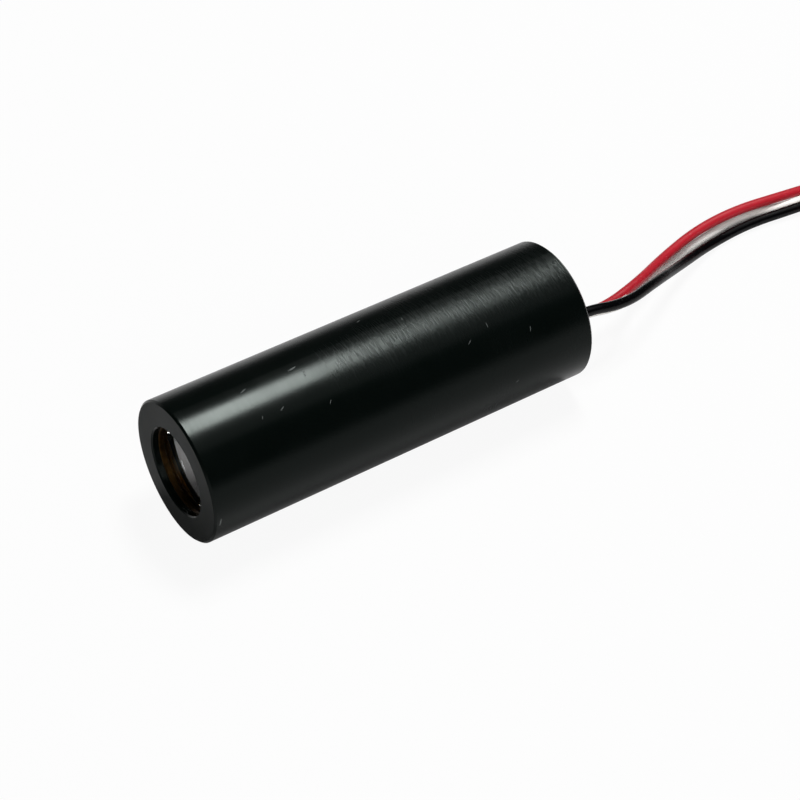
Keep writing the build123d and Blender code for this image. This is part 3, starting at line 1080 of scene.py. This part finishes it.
def make_tip(colour, tree):
    """The stripped end of one lead, from just inside its insulation on along its ring."""
    radius = coil_radius[colour]
    turned = coiled_length[colour] / radius
    height = ring_point(turned, radius)[2]
    points = []
    for step in range(tip_steps + 1):
        reach = -tip_overlap + (tip_overlap + tip_length) * step / tip_steps
        x, y, _ = ring_point(turned + reach / radius, radius)
        points.append((x, y, height))
    sizes = {
        "Strand Radius": mm(strand_radius),
        "Lay Radius": mm(2 * strand_radius),
        "Outer Strands": strand_count,
        "Twist": 2 * math.pi * lay_turns,
        "Finish": copper,
    }
    return follow(f"{colour}_strands", points, False, tree, sizes)


# Tie: a flat strip drawn tight round the three rings, whose two ends are twisted together on top.
# It crosses the rings at this angle, and its sizes are in millimetres.
tie_angle = math.radians(40)
tie_width = 1.2
tie_thickness = 0.15
tie_edge = 0.45 * tie_thickness
tie_hold = wire_diameter / 2 + tie_thickness / 2
arc_steps = 8
tail_length = 2.6
tail_lean = 1.1
tail_droop = 0.25
tail_sunk = 0.1
tail_steps = 16
tail_ends = 2
tail_end_radius = 0.21
tail_lay_radius = 0.2
tail_turns = 2.5


def top_turn(colour):
    """The height of a lead's topmost turn where the tie crosses it, at the lead's middle."""
    radius = coil_radius[colour]
    first = coil_join - tie_angle
    further = math.floor((coiled_length[colour] / radius - first) / (2 * math.pi))
    return ring_point(first + further * 2 * math.pi, radius)[2]


def tie_point(reach, height):
    """A point in the tie's upright plane, by its distance from the coil's axis and its height."""
    return (
        coil_centre[0] + reach * math.cos(tie_angle),
        coil_centre[1] + reach * math.sin(tie_angle),
        height,
    )


def make_tie(strip, strands):
    """The strip that goes round the rings, and its two ends twisted together, as two pieces."""
    inner, outer = coil_radius["black"], coil_radius["red"]
    inner_top, outer_top = top_turn("black"), top_turn("red")
    lowest = tie_thickness / 2 + tie_hold
    slope = math.degrees(math.atan2(outer - inner, inner_top - outer_top))
    # An arc for each turn that the strip bends round: its place, and its first and last angle
    arcs = (
        (outer, lowest, -90, 0),
        (outer, outer_top, 0, slope),
        (inner, inner_top, slope, 180),
        (inner, lowest, 180, 270),
    )
    loop = []
    for reach, height, start, end in arcs:
        for step in range(arc_steps + 1):
            angle = math.radians(start + (end - start) * step / arc_steps)
            loop.append(
                tie_point(reach + tie_hold * math.cos(angle), height + tie_hold * math.sin(angle))
            )
    band = follow(
        "coil_tie_band",
        loop,
        True,
        strip,
        {
            "Width": mm(tie_width),
            "Thickness": mm(tie_thickness),
            "Edge Radius": mm(tie_edge),
            "Finish": plastic,
        },
    )
    tail_points = []
    for step in range(tail_steps + 1):
        share = step / tail_steps
        lean = tail_lean * share**2
        rise = tail_length * share * (1 - tail_droop * share)
        tail_points.append(tie_point(inner - lean, inner_top + tie_hold - tail_sunk + rise))
    tail = follow(
        "coil_tie_tail",
        tail_points,
        False,
        strands,
        {
            "Strand Radius": mm(tail_end_radius),
            "Lay Radius": mm(tail_lay_radius),
            "Outer Strands": tail_ends,
            "Twist": 2 * math.pi * tail_turns,
            "Finish": plastic,
        },
    )
    return band, tail


# Rear sealant: a cast disc that creeps up the bore and round each lead. A creep is how high the
# sealant stands there and over what distance that fades, in millimetres.
sealant_rings = 44
sealant_spokes = 144
bore_creep = (0.16, 0.22)
lead_creep = (0.20, 0.14)
sealant_overlap = 0.02
sealant_swell = 0.03
swell_waves = (1.1, 0.9)
swell_shift = 0.4
sharp_edge = math.radians(50)


def sealant_height(x, z):
    """How far the sealant stands proud of its level at a place across the bore, in millimetres."""
    reach = math.hypot(x, z - in_mm(axis_height))
    rise = bore_creep[0] * math.exp(-max(in_mm(bore_radius) - reach, 0) / bore_creep[1])
    for colour in lane:
        lead_x, _, lead_z = lane_point(colour, 0)
        clear = max(math.hypot(x - lead_x, z - lead_z) - wire_diameter / 2, 0)
        rise += lead_creep[0] * math.exp(-clear / lead_creep[1])
    across = math.sin(swell_waves[0] * x + swell_shift)
    return rise + sealant_swell * across * math.cos(swell_waves[1] * z)


def make_sealant():
    """The sealant as a disc of rings and spokes, closed in front and round its edge."""
    mesh = bpy.data.meshes.new("rear_sealant")
    built = bmesh.new()
    edge = in_mm(bore_radius) + sealant_overlap
    back_y, inner_y = in_mm(sealant_high.y), in_mm(sealant_low.y)
    centre_z = in_mm(axis_height)

    def spot(reach, spoke):
        angle = 2 * math.pi * spoke / sealant_spokes
        return reach * math.cos(angle), centre_z + reach * math.sin(angle)

    centre = built.verts.new(mm(0, back_y + sealant_height(0, centre_z), centre_z))
    inner_centre = built.verts.new(mm(0, inner_y, centre_z))
    rows = []
    for ring in range(1, sealant_rings + 1):
        places = [spot(edge * ring / sealant_rings, spoke) for spoke in range(sealant_spokes)]
        rows.append([built.verts.new(mm(x, back_y + sealant_height(x, z), z)) for x, z in places])
    inner = [spot(edge, spoke) for spoke in range(sealant_spokes)]
    rows.append([built.verts.new(mm(x, inner_y, z)) for x, z in inner])
    for spoke in range(sealant_spokes):
        after = (spoke + 1) % sealant_spokes
        built.faces.new((centre, rows[0][spoke], rows[0][after]))
        for here, outer in zip(rows, rows[1:]):
            built.faces.new((here[spoke], outer[spoke], outer[after], here[after]))
        built.faces.new((inner_centre, rows[-1][after], rows[-1][spoke]))
    bmesh.ops.recalc_face_normals(built, faces=built.faces)
    for face in built.faces:
        face.smooth = True
    built.to_mesh(mesh)
    built.free()
    mesh.set_sharp_from_angle(angle=sharp_edge)
    piece = bpy.data.objects.new("rear_sealant", mesh)
    scene.collection.objects.link(piece)
    mesh.materials.append(cast_epoxy())
    return piece


strands = strand_tree()
tie = make_tie(strip_tree(), strands)
for colour in lane:
    lead = make_lead(colour)
    lead.data.materials.append(insulation[colour])
    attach(lead, "root")
    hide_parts(f"{colour}_wire", f"{colour}_coil")
    tip = make_tip(colour, strands)
    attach(tip, "root")
    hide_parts(f"{colour}_tip")

for piece in tie:
    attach(piece, "root")
    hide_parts("coil_tie")

sealant = make_sealant()
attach(sealant, "root")
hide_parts("rear_potting")


# Stage: a pale floor, a pale sky low down that darkens overhead, and three soft lamps
floor_reach = 2.0
floor_grey = "#c8c8c8"
floor_white = 0.92
floor_mirrored = 0.05
wall_white = 0.93
sky_low = 0.45
sky_high = 0.03
sky_top = 0.16
lamp_distance = 0.5
# Each lamp: its name, the way to it, its width and its length along the barrel, its power in watts
lamps = (
    ("key", (-0.176, 0.317, 0.932), 0.19, 0.097, 2.66),
    ("panel", (0.03, 0.43, 0.90), 0.53, 0.35, 0.34),
    ("fill", (0.80, -0.35, 0.50), 0.3, 0.3, 1.48),
)


def make_floor():
    """A wide pale floor that looks white to the camera, to metal and to glass, and keeps a shadow."""
    reach = floor_reach
    corners = [(-reach, -reach, 0), (reach, -reach, 0), (reach, reach, 0), (-reach, reach, 0)]
    mesh = bpy.data.meshes.new("floor")
    mesh.from_pydata(corners, [], [(0, 1, 2, 3)])
    floor = bpy.data.objects.new("floor", mesh)
    scene.collection.objects.link(floor)
    material, tree, _ = new_material("pale floor")
    paths = add_node(tree, "ShaderNodeLightPath").outputs
    mirrored = add_node(
        tree,
        "ShaderNodeMath",
        {"operation": "ADD", "use_clamp": True},
        {0: paths["Is Glossy Ray"], 1: paths["Is Transmission Ray"]},
    ).outputs[0]
    seen = add_node(
        tree,
        "ShaderNodeMath",
        {"operation": "MULTIPLY"},
        {0: paths["Is Camera Ray"], 1: floor_white},
    ).outputs[0]
    share = add_node(
        tree,
        "ShaderNodeMath",
        {"operation": "MULTIPLY_ADD"},
        {0: mirrored, 1: floor_mirrored, 2: seen},
    ).outputs[0]
    matte = add_node(
        tree,
        "ShaderNodeBsdfDiffuse",
        inputs={"Color": hex_colour(floor_grey)},
    ).outputs[0]
    white = add_node(
        tree,
        "ShaderNodeEmission",
        inputs={"Color": (1, 1, 1, 1), "Strength": 1.0},
    ).outputs[0]
    mixed = add_node(tree, "ShaderNodeMixShader", inputs={0: share, 1: matte, 2: white})
    add_node(tree, "ShaderNodeOutputMaterial", inputs={"Surface": mixed.outputs[0]})
    mesh.materials.append(material)


def make_world():
    """A soft studio sky: pale near the horizon and dark overhead, and a white wall to the camera."""
    world = bpy.data.worlds.new("studio")
    scene.world = world
    world.use_nodes = True
    tree = world.node_tree
    tree.nodes.clear()
    direction = add_node(tree, "ShaderNodeTexCoord").outputs["Generated"]
    height = add_node(tree, "ShaderNodeSeparateXYZ", inputs={0: direction}).outputs["Z"]
    level = add_node(
        tree,
        "ShaderNodeMapRange",
        {"interpolation_type": "SMOOTHSTEP"},
        {"Value": height, "From Max": sky_top, "To Min": sky_low, "To Max": sky_high},
    ).outputs[0]
    shown = add_node(
        tree,
        "ShaderNodeMix",
        {"data_type": "FLOAT"},
        {
            0: add_node(tree, "ShaderNodeLightPath").outputs["Is Camera Ray"],
            2: level,
            3: wall_white,
        },
    ).outputs[0]
    glow = add_node(tree, "ShaderNodeBackground", inputs={"Color": (1, 1, 1, 1), "Strength": shown})
    add_node(tree, "ShaderNodeOutputWorld", inputs={"Surface": glow.outputs[0]})


def make_lamp(name, direction, width, length, power):
    """A soft rectangular lamp that faces the object, its length along the barrel."""
    data = bpy.data.lights.new(name, "AREA")
    data.shape = "RECTANGLE"
    data.size = width
    data.size_y = length
    data.energy = power
    lamp = bpy.data.objects.new(name, data)
    aim = Vector(direction).normalized()
    across = Vector((0, 1, 0)).cross(aim).normalized()
    along = aim.cross(across)
    lamp.location = aim * lamp_distance + Vector((0, 0, axis_height))
    lamp.rotation_euler = Matrix((across, along, aim)).transposed().to_euler()
    scene.collection.objects.link(lamp)


make_floor()
make_world()
for lamp in lamps:
    make_lamp(*lamp)
scene.view_settings.view_transform = "Standard"
